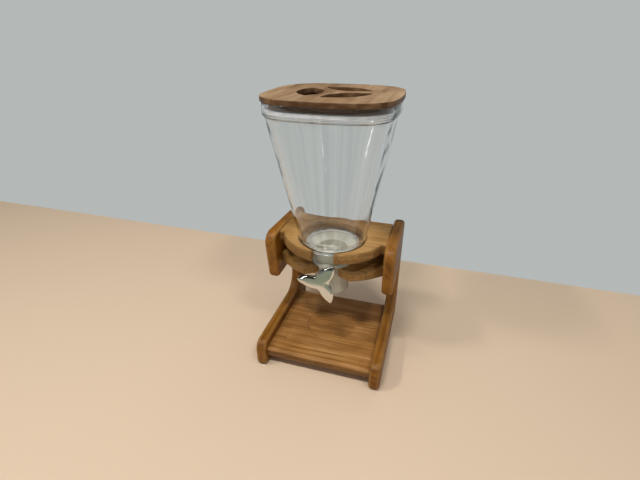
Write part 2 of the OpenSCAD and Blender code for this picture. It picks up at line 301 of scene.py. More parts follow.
def woodFinish(name, look):
    wood = Finish(name)
    spot = wood.places()
    along, across, through = (spot[i] for i in look["axes"])
    seed = look["seed"]
    row = (across / look["stave"] + seed).floor()
    start = wood.chance(row, seed, 0.5)
    block = (along / look["length"] + start * 3.0).floor()
    one, two, three = [wood.chance(row, block, seed + k + 0.5) for k in (1, 2, 3)]
    cutAlong, cutAcross, cutThrough = grain["cutFrom"]
    u = along + one * cutAlong
    v = across + two * cutAcross
    w = through + three * cutThrough
    long, fine = grain["swayPerMetre"]
    sway = wood.noise(u * long, v * fine, w * fine, 2.0)
    shift = (sway - 0.5) * grain["ringWave"]
    pithV, pithW = grain["pithAt"]
    radius = ((v + shift - pithV) ** 2.0 + (w + shift - pithW) ** 2.0).root()
    rings = wood.stripes(radius * grain["ringsPerMetre"]).ease(*grain["ringStep"])
    long, fine = grain["streaksPerMetre"]
    streaks = wood.noise(u * long, v * fine, w * fine, 4.0, 0.62).ease(*grain["streakStep"])
    long, fine = grain["poresPerMetre"]
    pores = wood.noise(u * long, v * fine, w * fine, 1.0).ease(*grain["poreStep"])
    long, fine = grain["cloudsPerMetre"]
    cloud = wood.noise(u * long, v * fine, w * fine, 3.0)
    figure = rings * grain["rings"] + streaks * grain["streaks"] + cloud * grain["cloud"] + grain["lift"]
    shades = [tint(*look[shade]) for shade in ("dark", "middle", "light")]
    colour = wood.ramp(figure, list(zip(grain["toneStops"], shades)))
    tone = wood.ramp(two, [(0.0, grain["darkStave"]), (grain["plainAt"], grain["plainStave"]),
                           (1.0, grain["paleStave"])])
    colour = wood.blend(1.0, colour, tone, "MULTIPLY")
    colour = wood.blend(pores * grain["poreShade"], colour, shades[0])
    side = (across / look["stave"] + seed).fract()
    gap = side.least(1.0 - side) * look["stave"]
    end = (along / look["length"] + start * 3.0).fract()
    butt = end.least(1.0 - end) * look["length"]
    joint = 1.0 - gap.least(butt).ease(0.0, grain["jointWidth"])
    glueLine = tint(*[c * grain["jointDark"] for c in look["dark"]])
    colour = wood.blend(joint * grain["jointShade"], colour, glueLine)
    patches = wood.noise(*[s * grain["patchesPerMetre"] for s in spot], 3.0).ease(*grain["patchStep"])
    least = grain["leastWearAndLight"]
    # uneven share of edge wear; edgeTint also paints shade on the shaded sides of some woods and light on the
    # lit edges of others
    wearAndLightShare = wood.wear() * (least + patches * (1 - least))
    colour = wood.blend(wearAndLightShare * look["edgeShade"], colour, tint(*look["edgeTint"]))
    height = streaks * grain["streakHeight"] - pores * grain["poreDepth"] - joint * grain["jointDepth"]
    dullness = grain["roughness"] + streaks * grain["streakRoughness"] + pores * grain["poreRoughness"]
    wood.set(Base_Color=colour, Roughness=dullness,
             Normal=wood.bump(height, grain["bumpDistance"], grain["bumpStrength"]),
             Coat_Weight=grain["coatWeight"], Coat_Roughness=grain["coatRoughness"],
             Specular_IOR_Level=grain["shine"])
    return wood.material


# clear moulded plastic, slightly wavy, smeared, with faint darker upright streaks; on the canister these are
# painted in for the dark lines that refraction draws down its walls
clears = {
    "canisterClear": {"colour": (0.985, 0.987, 0.985, 1.0), "flowColour": (0.905, 0.91, 0.915, 1.0),
                      "flow": 7.0, "bending": 1.46, "roughness": 0.01, "through": 1.0,
                      "smears": 0.02, "waves": 26.0, "waveHeight": 0.0012,
                      "shadow": (0.93, 0.93, 0.93, 1.0)},
    "housingClear": {"colour": tint(208, 208, 196), "flowColour": tint(198, 196, 180),
                     "flow": 3.0, "bending": 1.46, "roughness": 0.10, "through": 0.45,
                     "smears": 0.12, "waves": 40.0, "waveHeight": 0.0008,
                     "shadow": (0.72, 0.72, 0.70, 1.0)},
}
clearSkin = {"waveStretch": 0.9, "smearsPerMetre": (70.0, 24.0), "smearStep": (0.52, 0.80),
             "flowPerMetre": 1.2, "flowStep": (0.42, 0.68), "leastReach": 0.001}


def clearFinish(name, look):
    # lamps shine through it, a little dimmed
    clear = Finish(name)
    x, y, z = clear.places()
    wave = look["waves"]
    waves = clear.noise(x * wave, y * wave, z * wave * clearSkin["waveStretch"], 1.0)
    across, upward = clearSkin["smearsPerMetre"]
    smears = clear.noise(x * across, y * across, z * upward, 4.0, 0.6).ease(*clearSkin["smearStep"])
    # the streaks change with the direction from the axis and hardly with height
    back = y - axisY * mm
    reach = (x * x + back ** 2.0).root() + clearSkin["leastReach"]
    flow = clear.noise(x / reach * look["flow"], back / reach * look["flow"],
                       z * clearSkin["flowPerMetre"], 2.0)
    # painted streaks: a darker tint that, on the canister, stands for refraction lines
    tinted = clear.blend(flow.ease(*clearSkin["flowStep"]), look["colour"], look["flowColour"])
    clear.set(Base_Color=tinted, Transmission_Weight=look["through"], IOR=look["bending"],
              Roughness=look["roughness"] + smears * look["smears"],
              Normal=clear.bump(waves, look["waveHeight"]))
    glow = clear.add("ShaderNodeBsdfTransparent", None, {0: look["shadow"]})
    clear.show(clear.mixShaders(clear.ray("Shadow"), clear.surface, glow))
    return clear.material


# bright metal with fine marks and a dull film in patches
metals = {
    "knobChrome": {"colour": (0.75, 0.76, 0.74, 1.0), "dull": (0.62, 0.62, 0.58, 1.0), "film": 0.35,
                   "roughness": 0.045, "spread": 0.05, "marks": (90, 90, 90)},
    "shaftSteel": {"colour": (0.62, 0.62, 0.61, 1.0), "dull": (0.42, 0.42, 0.40, 1.0), "film": 0.5,
                   "roughness": 0.2, "spread": 0.15, "marks": (900, 40, 900)},
    "screwSteel": {"colour": (0.55, 0.55, 0.53, 1.0), "dull": (0.36, 0.35, 0.33, 1.0), "film": 0.6,
                   "roughness": 0.3, "spread": 0.15, "marks": (400, 400, 400)},
    "grubSteel": {"colour": (0.12, 0.12, 0.13, 1.0), "dull": (0.05, 0.05, 0.05, 1.0), "film": 0.6,
                  "roughness": 0.35, "spread": 0.15, "marks": (400, 400, 400)},
}
metalSkin = {"markHeight": 0.0001, "markStrength": 0.4, "filmPerMetre": 55.0, "filmStep": (0.45, 0.8)}


def metalFinish(name, look):
    metal = Finish(name)
    x, y, z = metal.places()
    marks = metal.noise(x * look["marks"][0], y * look["marks"][1], z * look["marks"][2], 3.0, 0.6)
    often = metalSkin["filmPerMetre"]
    film = metal.noise(x * often, y * often, z * often, 3.0).ease(*metalSkin["filmStep"])
    colour = metal.blend(film * look["film"], look["colour"], look["dull"])
    metal.set(Base_Color=colour, Metallic=1.0, Roughness=look["roughness"] + marks * look["spread"],
              Normal=metal.bump(marks, metalSkin["markHeight"], metalSkin["markStrength"]))
    return metal.material


# rubber or plastic with a fine moulded skin
moulded = {
    "sealRubber": {"colour": tint(190, 192, 193), "stained": tint(178, 178, 176), "roughness": 0.5,
                   "pimples": 900, "pimpleHeight": 0.0002},
    "neckRubber": {"colour": tint(205, 206, 200), "stained": tint(186, 184, 174), "roughness": 0.45,
                   "pimples": 900, "pimpleHeight": 0.0002},
    "bushPlastic": {"colour": tint(224, 219, 204), "stained": tint(196, 188, 168), "roughness": 0.4,
                    "pimples": 1200, "pimpleHeight": 0.0001},
    "hubPlastic": {"colour": tint(222, 224, 218), "stained": tint(200, 198, 186), "roughness": 0.4,
                   "pimples": 1200, "pimpleHeight": 0.0001},
    "paddleRubber": {"colour": tint(214, 216, 206), "stained": tint(190, 188, 172), "roughness": 0.4,
                     "pimples": 800, "pimpleHeight": 0.0002, "through": 0.3},
}
mouldedSkin = {"stainsPerMetre": 40.0, "stainStep": (0.4, 0.75), "stainShare": 0.35,
               "pimpleSpread": 0.12, "pimpleStrength": 0.5, "bending": 1.45}


def mouldedFinish(name, look):
    skin = Finish(name)
    x, y, z = skin.places()
    pimples = skin.noise(x * look["pimples"], y * look["pimples"], z * look["pimples"], 2.0)
    often = mouldedSkin["stainsPerMetre"]
    stain = skin.noise(x * often, y * often, z * often, 4.0).ease(*mouldedSkin["stainStep"])
    colour = skin.blend(stain * mouldedSkin["stainShare"], look["colour"], look["stained"])
    skin.set(Base_Color=colour, Roughness=look["roughness"] + pimples * mouldedSkin["pimpleSpread"],
             Normal=skin.bump(pimples, look["pimpleHeight"], mouldedSkin["pimpleStrength"]),
             Transmission_Weight=look.get("through", 0.0), IOR=mouldedSkin["bending"])
    return skin.material


finishes = {}
for makeFinish, looks in ((woodFinish, woods), (clearFinish, clears), (metalFinish, metals),
                          (mouldedFinish, moulded)):
    for finishName, finishLook in looks.items():
        finishes[finishName] = makeFinish(finishName, finishLook)
print("finishes made:", len(finishes))


closeBy = 0.002 * mm             # points nearer than this, in metres, are one
edgeBand = 0.7                   # flat strip inside each rounded edge, in mm


class Shape:
    # points and faces of one mesh, in mm from the canister's axis
    def __init__(self):
        self.points = []
        self.faces = []
        self.wearAndLightShare = []

    def ring(self, points, wearAndLightShare=0.0):
        first = len(self.points)
        self.points += [tuple(p) for p in points]
        self.wearAndLightShare += [wearAndLightShare] * len(points)
        return list(range(first, len(self.points)))

    def join(self, lower, upper):
        for i in range(len(lower)):
            j = (i + 1) % len(lower)
            self.faces.append((lower[i], lower[j], upper[j], upper[i]))

    def loft(self, rings, closed=False):
        # rings are lists of points, or (points, share of wear and painted light and shade) pairs
        numbers = [self.ring(*r) if isinstance(r, tuple) else self.ring(r) for r in rings]
        for lower, upper in zip(numbers, numbers[1:]):
            self.join(lower, upper)
        if closed:
            self.join(numbers[-1], numbers[0])
        return numbers

    def cap(self, *loops):
        # flat cover over the first loop, with the other loops as holes
        flat = [[Vector(self.points[i]) for i in loop] for loop in loops]
        order = [i for loop in loops for i in loop]
        for corners in tessellate_polygon(flat):
            self.faces.append(tuple(order[i] for i in corners))

    def mesh(self, name, sharpAngle=38.0):
        mesh = bpy.data.meshes.new(name)
        mesh.from_pydata([(x * mm, (y + axisY) * mm, z * mm) for x, y, z in self.points], [], self.faces)
        # per-point share of edge wear and of painted light and shade
        wear = mesh.attributes.new("wear", "FLOAT", "POINT")
        wear.data.foreach_set("value", self.wearAndLightShare)
        body = bmesh.new()
        body.from_mesh(mesh)
        bmesh.ops.remove_doubles(body, verts=body.verts, dist=closeBy)
        bmesh.ops.dissolve_degenerate(body, edges=body.edges, dist=closeBy)
        bmesh.ops.recalc_face_normals(body, faces=body.faces)
        body.to_mesh(mesh)
        body.free()
        mesh.shade_smooth()
        mesh.set_sharp_from_angle(angle=math.radians(sharpAngle))
        return mesh


def addPiece(name, mesh, finish, slot, body, *nodes):
    piece = bpy.data.objects.new(name, mesh)
    bpy.context.scene.collection.objects.link(piece)
    mesh.materials.append(finishes[finish])
    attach(piece, body)
    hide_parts(*nodes)


def roundedOutline(corners, steps=10):
    # a closed outline of (x, y, radius) corners, each drawn as an arc
    outline = []
    for i, (x, y, radius) in enumerate(corners):
        here = Vector((x, y))
        if radius == 0:
            outline.append(here)
            continue
        before = (Vector(corners[i - 1][:2]) - here).normalized()
        after = (Vector(corners[(i + 1) % len(corners)][:2]) - here).normalized()
        half = before.angle(after) / 2
        centre = here + (before + after).normalized() * radius / math.sin(half)
        arm = here + before * radius / math.tan(half) - centre
        side = 1 if before.y * after.x - before.x * after.y > 0 else -1
        for k in range(steps + 1):
            turn = Matrix.Rotation(side * (math.pi - 2 * half) * k / steps, 2)
            outline.append(centre + turn @ arm)
    return outline


def inset(outline, amounts):
    # each point moved into the solid by its amount; the solid is on the left of the outline
    moved = []
    count = len(outline)
    for i, point in enumerate(outline):
        before = (point - outline[i - 1]).normalized()
        after = (outline[(i + 1) % count] - point).normalized()
        middle = (before + after).normalized()
        inward = Vector((-middle.y, middle.x))
        moved.append(point + inward * amounts[i] / max(0.6, before.dot(middle)))     # less far at a spike
    return moved


def edgeSteps(radius, level, sign, paintedSideShade=0.0, steps=6):
    # (inset, height, share of wear and painted light and shade) from the flat face out to the side, for a
    # rounded edge; the side face gets the given share of painted shade
    arc = [(radius + edgeBand, level, 0.0)]
    for k in range(steps + 1):
        turn = math.pi / 2 * k / steps
        arc.append((radius * (1 - math.sin(turn)), level + sign * radius * (1 - math.cos(turn)),
                    max(math.sin(2 * turn), paintedSideShade * k / steps)))
    return arc


def boardRings(outline, shares, low, high, radius, turn, paintedSideShade):
    levels = edgeSteps(radius, low, 1, paintedSideShade) + edgeSteps(radius, high, -1, paintedSideShade)[::-1]
    rings = []
    for amount, height, wearAndLightShare in levels:
        flat = inset(outline, [amount * s for s in shares])
        rings.append(([turn(p.x, p.y, height) for p in flat], wearAndLightShare))
    return rings


def boardMesh(name, loops, low, high, radius, turn=lambda u, v, w: (u, v, w), shares=None, paintedSideShade=0.0):
    # a board with rounded edges; the first loop is its outline and the others are holes
    shape = Shape()
    ends = []
    for i, loop in enumerate(loops):
        part = shares[i] if shares else [1.0] * len(loop)
        numbers = shape.loft(boardRings(loop, part, low, high, radius, turn, paintedSideShade))
        ends.append((numbers[0], numbers[-1]))
    shape.cap(*[e[0] for e in ends])
    shape.cap(*[e[1] for e in ends])
    return shape.mesh(name)


def circle(radius, count=96, clockwise=False):
    turns = [2 * math.pi * k / count * (-1 if clockwise else 1) for k in range(count)]
    return [Vector((radius * math.cos(t), radius * math.sin(t))) for t in turns]


# side panels: a C of foot, column and arm, drawn from the side in (depth, height)
panelLook = {
    "corners": [(-121, 0, 12), (145, 0, 9), (127, 259, 14), (-46, 270, 24), (-31, 162, 12),
                (94, 162, 25), (96, 59, 38), (-121, 59, 22)],
    "edge": 7.0,
}


def makePanels(look):
    outline = roundedOutline(look["corners"], 14)
    for side in ("left", "right"):
        low, high = boxOf(side + "_side_panel")
        mesh = boardMesh(side + "Panel", [outline], low.x, high.x, look["edge"], lambda u, v, w: (w, u, v))
        addPiece(side + "Panel", mesh, "panelWood", "panel_wood", "stand", side + "_side_panel")


makePanels(panelLook)
print("side panels made")


# base board with a shallow round seat for a bowl
baseLook = {"edge": 6.0, "seatRadius": 52.0, "seatDepth": 3.0, "seatFloor": 45.5, "seatSteps": 8,
            "lipWidth": 0.4, "lipDepth": 0.15, "seatWearAndLight": 0.6, "wearAndLightTo": 2.8}


def makeBase(look):
    low, high = boxOf("base_board")
    corners = [(low.x, low.y, 0), (high.x, low.y, 0), (high.x, high.y, 0), (low.x, high.y, 0)]
    outline = roundedOutline(corners)
    shape = Shape()
    # the rounded edges are painted lighter, as light, along with wear
    levels = edgeSteps(look["edge"], low.z, 1) + edgeSteps(look["edge"], high.z, -1)[::-1]
    rings = []
    for amount, height, wearAndLightShare in levels:
        rings.append(([(p.x, p.y + (amount if p.y < 0 else -amount), height) for p in outline], wearAndLightShare))
    numbers = shape.loft(rings)
    shape.cap(numbers[0])
    radius, lip = look["seatRadius"], look["lipDepth"]
    wall = [(radius + look["lipWidth"], 0.0), (radius, lip)]
    for k in range(1, look["seatSteps"] + 1):
        turn = math.pi / 2 * k / look["seatSteps"]
        wall.append((radius - (radius - look["seatFloor"]) * (1 - math.cos(turn)),
                     lip + (look["seatDepth"] - lip) * math.sin(turn)))
    # the seat's rim is painted lighter, as light, along with wear, down to the given depth
    seat = [([(p.x, p.y, high.z - deep) for p in circle(r, clockwise=True)],
             look["seatWearAndLight"] if deep < look["wearAndLightTo"] else 0.0) for r, deep in wall]
    rims = shape.loft(seat)
    shape.cap(numbers[-1], rims[0])
    shape.cap(rims[-1])
    addPiece("baseBoard", shape.mesh("baseBoard"), "baseWood", "board_wood", "stand", "base_board")


makeBase(baseLook)
print("base board made")


# shelves: bowed front, slot at the front, round hole
upperLook = {"arcRadius": 108.0, "arcY": 32.0, "endY": -11.0, "slotHalf": 20.0, "bore": 52.0,
             "counterbore": 65.2, "ledge": 252.0, "edge": 4.0, "mouth": 3.0, "throatRound": 1.5,
             "paintedSideShade": 0.8}
lowerLook = {"arcRadius": 142.0, "arcY": 89.0, "slotHalf": 20.0, "tipIn": -33.0, "tipOut": (44.0, -45.5),
             "bore": 36.5, "notchHalf": 12.5, "notchEnd": 47.0, "edge": 4.0, "mouth": 3.0,
             "tipRound": 2.0, "notchRound": 3.0, "paintedSideShade": 0.5}
railEdge = 3.0


def bowed(look, start, end, count=14):
    # points along the bowed front, from one x to another
    xs = [start + (end - start) * k / count for k in range(count + 1)]
    return [(x, look["arcY"] - math.sqrt(look["arcRadius"] ** 2 - x * x), 0) for x in xs]


def boreArc(radius, start, end, count):
    turns = [math.radians(start + (end - start) * k / count) for k in range(count + 1)]
    return [(radius * math.cos(t), radius * math.sin(t), 0) for t in turns]


def upperOutline(look, radius, low, high):
    half = look["slotHalf"]
    mouth = look["mouth"]
    reach = math.sqrt(look["arcRadius"] ** 2 - (look["endY"] - look["arcY"]) ** 2)
    left = bowed(look, -reach, -half)
    right = bowed(look, half, reach)
    left[-1] = left[-1][:2] + (mouth,)
    right[0] = right[0][:2] + (mouth,)
    slotEnd = math.degrees(math.asin(half / radius))
    bore = boreArc(radius, 270 - slotEnd, slotEnd - 90, 72)
    bore[0] = bore[0][:2] + (look["throatRound"],)
    bore[-1] = bore[-1][:2] + (look["throatRound"],)
    ends = [(high.x, look["endY"], 0), (high.x, high.y, 0), (low.x, high.y, 0), (low.x, look["endY"], 0)]
    return roundedOutline(left + bore + right + ends, 5)


def edgeShares(outline, low, high):
    # no rounding where a board's end, within 0.05 mm, meets a panel
    return [0.0 if abs(p.x) > high.x - 0.05 else 1.0 for p in outline]


def makeUpperShelf(look):
    low, high = boxOf("upper_shelf")
    shape = Shape()
    rings = []
    # the sides get painted shade, a share of the dark edge tint
    wearAndLightShare = look["paintedSideShade"]
    lower = edgeSteps(look["edge"], low.z, 1, wearAndLightShare) + [(0.0, look["ledge"], wearAndLightShare)]
    upper = [(0.0, look["ledge"], wearAndLightShare)] + edgeSteps(look["edge"], high.z, -1, wearAndLightShare)[::-1]
    for radius, levels in ((look["bore"], lower), (look["counterbore"], upper)):
        outline = upperOutline(look, radius, low, high)
        shares = edgeShares(outline, low, high)
        for amount, height, wearAndLightShare in levels:
            flat = inset(outline, [amount * s for s in shares])
            rings.append(([(p.x, p.y, height) for p in flat], wearAndLightShare))
    numbers = shape.loft(rings)
    shape.cap(numbers[0])
    shape.cap(numbers[-1])
    addPiece("upperShelf", shape.mesh("upperShelf"), "shelfWood", "shelf_wood", "stand", "upper_shelf")


def makeLowerShelf(look):
    low, high = boxOf("lower_shelf")
    half = look["slotHalf"]
    tipX, tipY = look["tipOut"]
    notch = look["notchHalf"]
    notchTurn = math.degrees(math.asin(notch / look["bore"]))
    slotTurn = math.degrees(math.asin(half / look["bore"]))
    leftArc = bowed(look, low.x, -tipX)
    rightArc = bowed(look, tipX, high.x)
    tip, corner = look["tipRound"], look["notchRound"]
    corners = leftArc[:-1] + [(-tipX, tipY, look["mouth"]), (-half, look["tipIn"], tip)]
    corners += boreArc(look["bore"], 270 - slotTurn, 90 + notchTurn, 24)
    corners += [(-notch, look["notchEnd"], corner), (notch, look["notchEnd"], corner)]
    corners += boreArc(look["bore"], 90 - notchTurn, slotTurn - 90, 24)
    corners += [(half, look["tipIn"], tip), (tipX, tipY, look["mouth"])] + rightArc[1:]
    corners += [(high.x, high.y, 0), (low.x, high.y, 0)]
    outline = roundedOutline(corners, 5)
    # the sides get painted shade, a share of the dark edge tint
    mesh = boardMesh("lowerShelf", [outline], low.z, high.z, look["edge"],
                     shares=[edgeShares(outline, low, high)], paintedSideShade=look["paintedSideShade"])
    addPiece("lowerShelf", mesh, "shelfWood", "shelf_wood", "stand", "lower_shelf")


def makeRail():
    low, high = boxOf("back_rail")
    corners = ((low.y, low.z), (high.y, low.z), (high.y, high.z), (low.y, high.z))
    shape = Shape()
    soft = roundedOutline([(y, z, railEdge) for y, z in corners], 5)
    numbers = shape.loft([[(x, p.x, p.y) for p in soft] for x in (low.x, high.x)])
    shape.cap(numbers[0])
    shape.cap(numbers[1])
    addPiece("backRail", shape.mesh("backRail"), "baseWood", "board_wood", "stand", "back_rail")


makeUpperShelf(upperLook)
makeLowerShelf(lowerLook)
makeRail()
print("shelves and rail made")


# canister: a rounded square at the top runs down to a round neck
sideRadius = 385.0               # radius of the square's slightly bowed sides
sideTurns = (-7.4, -4.9, -2.5, 0.0, 2.5, 4.9)     # directions, in degrees, of a side's points
cornerTurns = 15                 # stretches round each corner
canLook = {
    "bodyHalf": 106.5, "bodyCorner": 58.0, "rimHalf": 109.5, "rimCorner": 62.0, "wall": 3.0,
    "neckRadius": 64.0, "neckStep": 2.5, "foot": 252.0, "floor": 255.0, "neckTop": 268.0,
    "throat": 47.0, "bodyTop": 498.0, "top": 519.0, "rows": 20, "rowFoot": 2.6, "rowTop": 3.5,
    # roundings as (inset, height) steps from a radius and a level
    "footRound": [(2.6, 0.0), (1.2, 0.25), (0.3, 1.0), (0.0, 2.5), (0.0, 9.0)],
    "bodyFoot": [(0.4, 0.7), (0.1, 1.6)],
    "bodyHead": [(-0.3, -1.6), (-1.2, -0.5)],
    "innerHead": [(-1.0, 0.0), (-0.2, -0.5)],
    "innerFoot": [(0.0, 1.6), (0.2, 1.0)],
    "shoulder": [(0.0, -5.0), (-0.1, -3.4), (-0.5, -2.0), (-1.1, -0.9), (-1.7, -0.1)],
    "innerShoulder": [(-2.2, 0.5), (-0.3, -5.0), (-0.1, -5.7), (0.0, -6.5)],
    "floorRound": [(0.0, 6.0), (0.2, 4.2), (0.9, 2.9), (1.1, 2.7), (2.9, 0.9), (3.1, 0.7), (4.2, 0.15),
                   (5.6, 0.0)],
    "throatRound": [(-1.6, 0.0), (-0.7, -0.25), (-0.2, -0.8), (0.0, -1.5)],
    "throatFoot": [(0.0, 1.0), (-0.3, 0.3), (-1.2, 0.0)],
    "rimFoot": [(2.4, 0.0), (1.0, 0.3), (0.2, 1.1), (0.0, 2.2), (0.0, 12.0)],
    "rimTop": [(0.0, -2.0), (0.2, -0.7), (0.8, -0.15), (1.5, 0.0), (2.2, -0.15), (2.8, -0.8), (3.0, -2.0)],
    "rimInside": [(3.0, 12.0), (3.0, 4.6), (3.4, 3.4), (4.6, 3.0)],
}


def softTurns():
    # directions, in radians, at which every soft ring has a point
    start = -sideTurns[0]
    span = 90 - 2 * start
    turns = []
    for quarter in range(4):
        turns += [90 * quarter + t for t in sideTurns]
        turns += [90 * quarter + start + span * k / cornerTurns for k in range(cornerTurns)]
    return [math.radians(t) for t in turns]


def softPoint(turn, half, corner):
    # the point of a soft square whose outward direction is turn
    quarter = math.floor((turn + math.pi / 4) / (math.pi / 2))
    local = turn - quarter * math.pi / 2
    side = sideRadius - half
    reach = sideRadius - corner
    centre = (math.sqrt(2 * reach * reach - side * side) - side) / 2
    limit = math.asin(centre / reach)
    if abs(local) <= limit:
        point = Vector((sideRadius * math.cos(local) - side, sideRadius * math.sin(local)))
    else:
        sign = 1 if local > 0 else -1
        point = Vector((centre + corner * math.cos(local), sign * centre + corner * math.sin(local)))
    return Matrix.Rotation(quarter * math.pi / 2, 2) @ point


def softRing(half, corner, height, deep=0.0):
    points = []
    for turn in softTurns():
        out = Vector((math.cos(turn), math.sin(turn)))
        p = softPoint(turn, half, corner) - out * deep
        points.append((p.x, p.y, height))
    return points


def bodyRing(look, height, deep):
    # the flared body at one height, deep mm inside its outer face
    rise = min(1.0, max(0.0, (height - look["neckTop"]) / (look["bodyTop"] - look["neckTop"])))
    points = []
    for turn in softTurns():
        out = Vector((math.cos(turn), math.sin(turn)))
        square = softPoint(turn, look["bodyHalf"], look["bodyCorner"])
        p = square * rise + out * (look["neckRadius"] + look["neckStep"]) * (1 - rise) - out * deep
        points.append((p.x, p.y, height))
    return points


def roundRing(radius, height):
    return [(radius * math.cos(t), radius * math.sin(t), height) for t in softTurns()]


def roundSteps(radius, level, steps):
    return [roundRing(radius - deep, level + rise) for deep, rise in steps]


def softSteps(size, level, steps):
    # size is a soft square's half width and corner radius
    return [softRing(*size, level + rise, deep) for deep, rise in steps]


def bodySteps(look, level, wall, steps):
    return [bodyRing(look, level + rise, wall + deep) for deep, rise in steps]


def makeCanister(look):
    wall = look["wall"]
    foot = look["foot"]
    top = look["top"]
    under = look["bodyTop"]
    neck = look["neckRadius"]
    low = look["neckTop"]
    rim = (look["rimHalf"], look["rimCorner"])
    first = low + look["rowFoot"]
    rise = under - look["rowTop"] - first
    heights = [first + rise * k / look["rows"] for k in range(look["rows"] + 1)]
    # outside, from the foot up
    rings = roundSteps(neck, foot, look["footRound"]) + roundSteps(neck, low, look["shoulder"])
    rings += bodySteps(look, low, 0.0, look["bodyFoot"])
    rings += [bodyRing(look, z, 0.0) for z in heights]
    rings += bodySteps(look, under, 0.0, look["bodyHead"])
    rings += softSteps(rim, under, look["rimFoot"]) + softSteps(rim, top, look["rimTop"])
    # inside, from the rim down
    rings += softSteps(rim, under, look["rimInside"])
    rings += bodySteps(look, under + wall, wall, look["innerHead"])
    rings += [bodyRing(look, z + wall, wall) for z in heights[-2::-1]]
    rings += bodySteps(look, low + wall, wall, look["innerFoot"])
    rings += roundSteps(neck - wall, low + wall, look["innerShoulder"])
    rings += roundSteps(neck - wall, look["floor"], look["floorRound"])
    rings += roundSteps(look["throat"], look["floor"], look["throatRound"])
    rings += roundSteps(look["throat"], foot, look["throatFoot"])
    shape = Shape()
    shape.loft(rings, closed=True)
    addPiece("canisterShell", shape.mesh("canisterShell"), "canisterClear", "canister_clear",
             "canister", "canister")


makeCanister(canLook)
print("canister made")


# lid: board with three finger openings, and the plug and seal under it
lidLook = {
    "half": 112.0, "corner": 65.0, "edge": 1.0, "gripRadius": 63.0, "lensRadius": 57.0,
    "lensFar": 76.0, "lensTurn": 70.0, "lensEdge": 0.45, "lensTip": 1.2, "lensSteps": 22,
    "plug": (97.0, 80.0), "core": (89.0, 72.0), "sealTop": 509.0,
    "coreFoot": [(2.0, 0.0), (0.6, 0.4), (0.0, 1.6)],
    "plugFoot": [(1.2, 0.0), (0.3, 0.4), (0.0, 1.2)],
    "pocket": 64.0, "pocketDeep": 5.0, "pocketFoot": [(0.0, 1.5), (0.5, 0.4), (1.6, 0.0)],
}
sealLook = {"rows": 30, "lips": 3, "lipDeep": 0.5, "skinDeep": 0.1, "cornerLess": 28.0, "endRound": 0.3,
            "endDeep": 2.6, "tuck": 0.02}


def lensOutline(look, turn):
    # one finger opening, clockwise, where two circles cross
    far = look["lensFar"]
    x = (look["gripRadius"] ** 2 - look["lensRadius"] ** 2 + far * far) / (2 * far)
    y = math.sqrt(look["gripRadius"] ** 2 - x * x)
    outer = math.atan2(y, x)
    inner = math.atan2(y, x - far)
    steps = look["lensSteps"]
    spots = []
    for k in range(steps + 1):
        a = outer - 2 * outer * k / steps
        spots.append((look["gripRadius"] * math.cos(a), look["gripRadius"] * math.sin(a)))
    for k in range(1, steps):
        a = -inner - 2 * (math.pi - inner) * k / steps
        spots.append((far + look["lensRadius"] * math.cos(a), look["lensRadius"] * math.sin(a)))
    tips = (0, steps)
    corners = [(px, py, look["lensTip"] if k in tips else 0) for k, (px, py) in enumerate(spots)]
    spin = Matrix.Rotation(math.radians(turn), 2)
    return [spin @ p for p in roundedOutline(corners, 4)]


def makeLid(look):
    low, high = boxOf("lid_board")
    outline = [Vector(p[:2]) for p in softRing(look["half"], look["corner"], 0.0)]
    lenses = [lensOutline(look, look["lensTurn"] + turn) for turn in (0, 120, 240)]
    shares = [[1.0] * len(outline)] + [[look["lensEdge"]] * len(lens) for lens in lenses]
    # the lid's side and its openings' walls get full painted shade
    mesh = boardMesh("lidBoard", [outline] + lenses, low.z, high.z, look["edge"],
                     shares=shares, paintedSideShade=1.0)
    addPiece("lidBoard", mesh, "lidWood", "lid_wood", "lid", "lid_board")

    bottom, top = boxOf("lid_plug")
    plug = Shape()
    core, outer, step = look["core"], look["plug"], look["sealTop"]
    rings = softSteps(core, bottom.z, look["coreFoot"]) + [softRing(*core, step)]
    rings += softSteps(outer, step, look["plugFoot"]) + [softRing(*outer, top.z)]
    numbers = plug.loft(rings)
    plug.cap(numbers[0])
    deep = top.z - look["pocketDeep"]
    pocket = [(look["pocket"], top.z)]
    pocket += [(look["pocket"] - less, deep + rise) for less, rise in look["pocketFoot"]]
    rims = plug.loft([[(p.x, p.y, z) for p in circle(r, clockwise=True)] for r, z in pocket])
    plug.cap(numbers[-1], rims[0])
    plug.cap(rims[-1])
    addPiece("lidPlug", plug.mesh("lidPlug"), "plugWood", "plug_wood", "lid", "lid_plug")


def makeSeal(look, core):
    # a soft band with lips round the plug's core
    low, high = boxOf("lid_seal")
    size = (high.x, core[1] - (core[0] - high.x) - look["cornerLess"])
    seal = Shape()
    rings = []
    for k in range(look["rows"] + 1):
        share = k / look["rows"]
        height = low.z + look["endRound"] + (high.z - low.z - 2 * look["endRound"]) * share
        lip = 0.5 + 0.5 * math.cos(2 * math.pi * look["lips"] * share)
        rings.append(softRing(*size, height, look["skinDeep"] + look["lipDeep"] * lip))
    rings.append(softRing(*size, high.z, look["endDeep"]))
    rings.append(softRing(*core, high.z, -look["tuck"]))
    rings.append(softRing(*core, low.z, -look["tuck"]))
    rings.append(softRing(*size, low.z, look["endDeep"]))
    seal.loft(rings, closed=True)
    addPiece("lidSeal", seal.mesh("lidSeal", sharpAngle=60.0), "sealRubber", "seal_rubber", "lid", "lid_seal")


makeLid(lidLook)
makeSeal(sealLook, lidLook["core"])
print("lid made")


